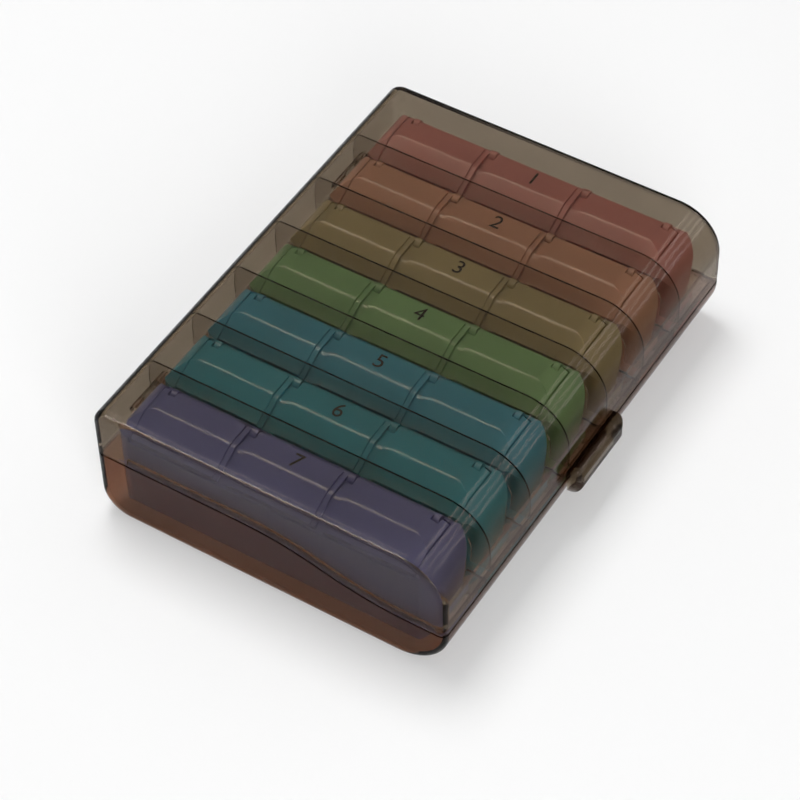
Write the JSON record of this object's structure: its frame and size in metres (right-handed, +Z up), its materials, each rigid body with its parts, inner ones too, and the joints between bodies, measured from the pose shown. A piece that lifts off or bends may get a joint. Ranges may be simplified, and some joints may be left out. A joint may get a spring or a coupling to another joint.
{
  "type": "weekly pill box",
  "caption": "Weekly pill box: a see-through smoky hinged case with a snap tab, holding lift-out coloured day trays whose compartments have flip lids.",
  "frame": {"origin": "on the resting face, under the middle of the case body", "axes": "+X from the hinge side to the latch side, +Y along the row of trays to the first day, +Z up"},
  "size_m": [0.12, 0.156, 0.042],
  "materials": {
    "smoky_plastic": "glossy see-through smoky grey-brown",
    "red_plastic": "glossy translucent red",
    "orange_plastic": "glossy translucent orange",
    "yellow_plastic": "glossy translucent yellow",
    "green_plastic": "glossy translucent green",
    "blue_plastic": "glossy translucent blue",
    "teal_plastic": "glossy translucent teal",
    "purple_plastic": "glossy translucent purple"
  },
  "bodies": {
    "base": {"case_base": "smoky_plastic"},
    "lid": {"case_lid": "smoky_plastic"},
    "tray_red": {"tray_red": "red_plastic"},
    "red_flap_left": {"red_flap_left": "red_plastic"},
    "red_flap_middle": {"red_flap_middle": "red_plastic"},
    "red_flap_right": {"red_flap_right": "red_plastic"},
    "tray_orange": {"tray_orange": "orange_plastic"},
    "orange_flap_left": {"orange_flap_left": "orange_plastic"},
    "orange_flap_middle": {"orange_flap_middle": "orange_plastic"},
    "orange_flap_right": {"orange_flap_right": "orange_plastic"},
    "tray_yellow": {"tray_yellow": "yellow_plastic"},
    "yellow_flap_left": {"yellow_flap_left": "yellow_plastic"},
    "yellow_flap_middle": {"yellow_flap_middle": "yellow_plastic"},
    "yellow_flap_right": {"yellow_flap_right": "yellow_plastic"},
    "tray_green": {"tray_green": "green_plastic"},
    "green_flap_left": {"green_flap_left": "green_plastic"},
    "green_flap_middle": {"green_flap_middle": "green_plastic"},
    "green_flap_right": {"green_flap_right": "green_plastic"},
    "tray_blue": {"tray_blue": "blue_plastic"},
    "blue_flap_left": {"blue_flap_left": "blue_plastic"},
    "blue_flap_middle": {"blue_flap_middle": "blue_plastic"},
    "blue_flap_right": {"blue_flap_right": "blue_plastic"},
    "tray_teal": {"tray_teal": "teal_plastic"},
    "teal_flap_left": {"teal_flap_left": "teal_plastic"},
    "teal_flap_middle": {"teal_flap_middle": "teal_plastic"},
    "teal_flap_right": {"teal_flap_right": "teal_plastic"},
    "tray_purple": {"tray_purple": "purple_plastic"},
    "purple_flap_left": {"purple_flap_left": "purple_plastic"},
    "purple_flap_middle": {"purple_flap_middle": "purple_plastic"},
    "purple_flap_right": {"purple_flap_right": "purple_plastic"}
  },
  "joints": [
    {"name": "case_lid_hinge", "type": "hinge", "parent": "base", "child": "lid", "pos_m": [-0.0567, 0, 0.024], "axis": [0, -1, 0], "range_deg": [0, 120]},
    {"name": "red_tray_lift", "type": "slide", "parent": "base", "child": "tray_red", "axis": [0, 0, 1], "range_m": [0, 0.026]},
    {"name": "red_flap_left_hinge", "type": "hinge", "parent": "tray_red", "child": "red_flap_left", "pos_m": [-0.0326, 0.07105, 0.0344], "axis": [-1, 0, 0], "range_deg": [0, 91]},
    {"name": "red_flap_middle_hinge", "type": "hinge", "parent": "tray_red", "child": "red_flap_middle", "pos_m": [-0.0009, 0.07105, 0.0344], "axis": [-1, 0, 0], "range_deg": [0, 91]},
    {"name": "red_flap_right_hinge", "type": "hinge", "parent": "tray_red", "child": "red_flap_right", "pos_m": [0.0308, 0.07105, 0.0344], "axis": [-1, 0, 0], "range_deg": [0, 91]},
    {"name": "orange_tray_lift", "type": "slide", "parent": "base", "child": "tray_orange", "axis": [0, 0, 1], "range_m": [0, 0.026]},
    {"name": "orange_flap_left_hinge", "type": "hinge", "parent": "tray_orange", "child": "orange_flap_left", "pos_m": [-0.0326, 0.04975, 0.0344], "axis": [-1, 0, 0], "range_deg": [0, 91]},
    {"name": "orange_flap_middle_hinge", "type": "hinge", "parent": "tray_orange", "child": "orange_flap_middle", "pos_m": [-0.0009, 0.04975, 0.0344], "axis": [-1, 0, 0], "range_deg": [0, 91]},
    {"name": "orange_flap_right_hinge", "type": "hinge", "parent": "tray_orange", "child": "orange_flap_right", "pos_m": [0.0308, 0.04975, 0.0344], "axis": [-1, 0, 0], "range_deg": [0, 91]},
    {"name": "yellow_tray_lift", "type": "slide", "parent": "base", "child": "tray_yellow", "axis": [0, 0, 1], "range_m": [0, 0.026]},
    {"name": "yellow_flap_left_hinge", "type": "hinge", "parent": "tray_yellow", "child": "yellow_flap_left", "pos_m": [-0.0326, 0.02845, 0.0344], "axis": [-1, 0, 0], "range_deg": [0, 91]},
    {"name": "yellow_flap_middle_hinge", "type": "hinge", "parent": "tray_yellow", "child": "yellow_flap_middle", "pos_m": [-0.0009, 0.02845, 0.0344], "axis": [-1, 0, 0], "range_deg": [0, 91]},
    {"name": "yellow_flap_right_hinge", "type": "hinge", "parent": "tray_yellow", "child": "yellow_flap_right", "pos_m": [0.0308, 0.02845, 0.0344], "axis": [-1, 0, 0], "range_deg": [0, 91]},
    {"name": "green_tray_lift", "type": "slide", "parent": "base", "child": "tray_green", "axis": [0, 0, 1], "range_m": [0, 0.026]},
    {"name": "green_flap_left_hinge", "type": "hinge", "parent": "tray_green", "child": "green_flap_left", "pos_m": [-0.0326, 0.00715, 0.0344], "axis": [-1, 0, 0], "range_deg": [0, 91]},
    {"name": "green_flap_middle_hinge", "type": "hinge", "parent": "tray_green", "child": "green_flap_middle", "pos_m": [-0.0009, 0.00715, 0.0344], "axis": [-1, 0, 0], "range_deg": [0, 91]},
    {"name": "green_flap_right_hinge", "type": "hinge", "parent": "tray_green", "child": "green_flap_right", "pos_m": [0.0308, 0.00715, 0.0344], "axis": [-1, 0, 0], "range_deg": [0, 91]},
    {"name": "blue_tray_lift", "type": "slide", "parent": "base", "child": "tray_blue", "axis": [0, 0, 1], "range_m": [0, 0.026]},
    {"name": "blue_flap_left_hinge", "type": "hinge", "parent": "tray_blue", "child": "blue_flap_left", "pos_m": [-0.0326, -0.01415, 0.0344], "axis": [-1, 0, 0], "range_deg": [0, 91]},
    {"name": "blue_flap_middle_hinge", "type": "hinge", "parent": "tray_blue", "child": "blue_flap_middle", "pos_m": [-0.0009, -0.01415, 0.0344], "axis": [-1, 0, 0], "range_deg": [0, 91]},
    {"name": "blue_flap_right_hinge", "type": "hinge", "parent": "tray_blue", "child": "blue_flap_right", "pos_m": [0.0308, -0.01415, 0.0344], "axis": [-1, 0, 0], "range_deg": [0, 91]},
    {"name": "teal_tray_lift", "type": "slide", "parent": "base", "child": "tray_teal", "axis": [0, 0, 1], "range_m": [0, 0.026]},
    {"name": "teal_flap_left_hinge", "type": "hinge", "parent": "tray_teal", "child": "teal_flap_left", "pos_m": [-0.0326, -0.03545, 0.0344], "axis": [-1, 0, 0], "range_deg": [0, 91]},
    {"name": "teal_flap_middle_hinge", "type": "hinge", "parent": "tray_teal", "child": "teal_flap_middle", "pos_m": [-0.0009, -0.03545, 0.0344], "axis": [-1, 0, 0], "range_deg": [0, 91]},
    {"name": "teal_flap_right_hinge", "type": "hinge", "parent": "tray_teal", "child": "teal_flap_right", "pos_m": [0.0308, -0.03545, 0.0344], "axis": [-1, 0, 0], "range_deg": [0, 91]},
    {"name": "purple_tray_lift", "type": "slide", "parent": "base", "child": "tray_purple", "axis": [0, 0, 1], "range_m": [0, 0.026]},
    {"name": "purple_flap_left_hinge", "type": "hinge", "parent": "tray_purple", "child": "purple_flap_left", "pos_m": [-0.0326, -0.05675, 0.0344], "axis": [-1, 0, 0], "range_deg": [0, 91]},
    {"name": "purple_flap_middle_hinge", "type": "hinge", "parent": "tray_purple", "child": "purple_flap_middle", "pos_m": [-0.0009, -0.05675, 0.0344], "axis": [-1, 0, 0], "range_deg": [0, 91]},
    {"name": "purple_flap_right_hinge", "type": "hinge", "parent": "tray_purple", "child": "purple_flap_right", "pos_m": [0.0308, -0.05675, 0.0344], "axis": [-1, 0, 0], "range_deg": [0, 91]}
  ],
  "couplings": [
    {"joint": "red_tray_lift", "follows": "case_lid_hinge", "m_per_rad": 0.011937},
    {"joint": "red_flap_left_hinge", "follows": "case_lid_hinge", "ratio": 0.75},
    {"joint": "red_flap_middle_hinge", "follows": "case_lid_hinge", "ratio": 0.75},
    {"joint": "red_flap_right_hinge", "follows": "case_lid_hinge", "ratio": 0.75},
    {"joint": "orange_tray_lift", "follows": "case_lid_hinge", "m_per_rad": 0.011937},
    {"joint": "orange_flap_left_hinge", "follows": "case_lid_hinge", "ratio": 0.75},
    {"joint": "orange_flap_middle_hinge", "follows": "case_lid_hinge", "ratio": 0.75},
    {"joint": "orange_flap_right_hinge", "follows": "case_lid_hinge", "ratio": 0.75},
    {"joint": "yellow_tray_lift", "follows": "case_lid_hinge", "m_per_rad": 0.011937},
    {"joint": "yellow_flap_left_hinge", "follows": "case_lid_hinge", "ratio": 0.75},
    {"joint": "yellow_flap_middle_hinge", "follows": "case_lid_hinge", "ratio": 0.75},
    {"joint": "yellow_flap_right_hinge", "follows": "case_lid_hinge", "ratio": 0.75},
    {"joint": "green_tray_lift", "follows": "case_lid_hinge", "m_per_rad": 0.011937},
    {"joint": "green_flap_left_hinge", "follows": "case_lid_hinge", "ratio": 0.75},
    {"joint": "green_flap_middle_hinge", "follows": "case_lid_hinge", "ratio": 0.75},
    {"joint": "green_flap_right_hinge", "follows": "case_lid_hinge", "ratio": 0.75},
    {"joint": "blue_tray_lift", "follows": "case_lid_hinge", "m_per_rad": 0.011937},
    {"joint": "blue_flap_left_hinge", "follows": "case_lid_hinge", "ratio": 0.75},
    {"joint": "blue_flap_middle_hinge", "follows": "case_lid_hinge", "ratio": 0.75},
    {"joint": "blue_flap_right_hinge", "follows": "case_lid_hinge", "ratio": 0.75},
    {"joint": "teal_tray_lift", "follows": "case_lid_hinge", "m_per_rad": 0.011937},
    {"joint": "teal_flap_left_hinge", "follows": "case_lid_hinge", "ratio": 0.75},
    {"joint": "teal_flap_middle_hinge", "follows": "case_lid_hinge", "ratio": 0.75},
    {"joint": "teal_flap_right_hinge", "follows": "case_lid_hinge", "ratio": 0.75},
    {"joint": "purple_tray_lift", "follows": "case_lid_hinge", "m_per_rad": 0.011937},
    {"joint": "purple_flap_left_hinge", "follows": "case_lid_hinge", "ratio": 0.75},
    {"joint": "purple_flap_middle_hinge", "follows": "case_lid_hinge", "ratio": 0.75},
    {"joint": "purple_flap_right_hinge", "follows": "case_lid_hinge", "ratio": 0.75}
  ]
}
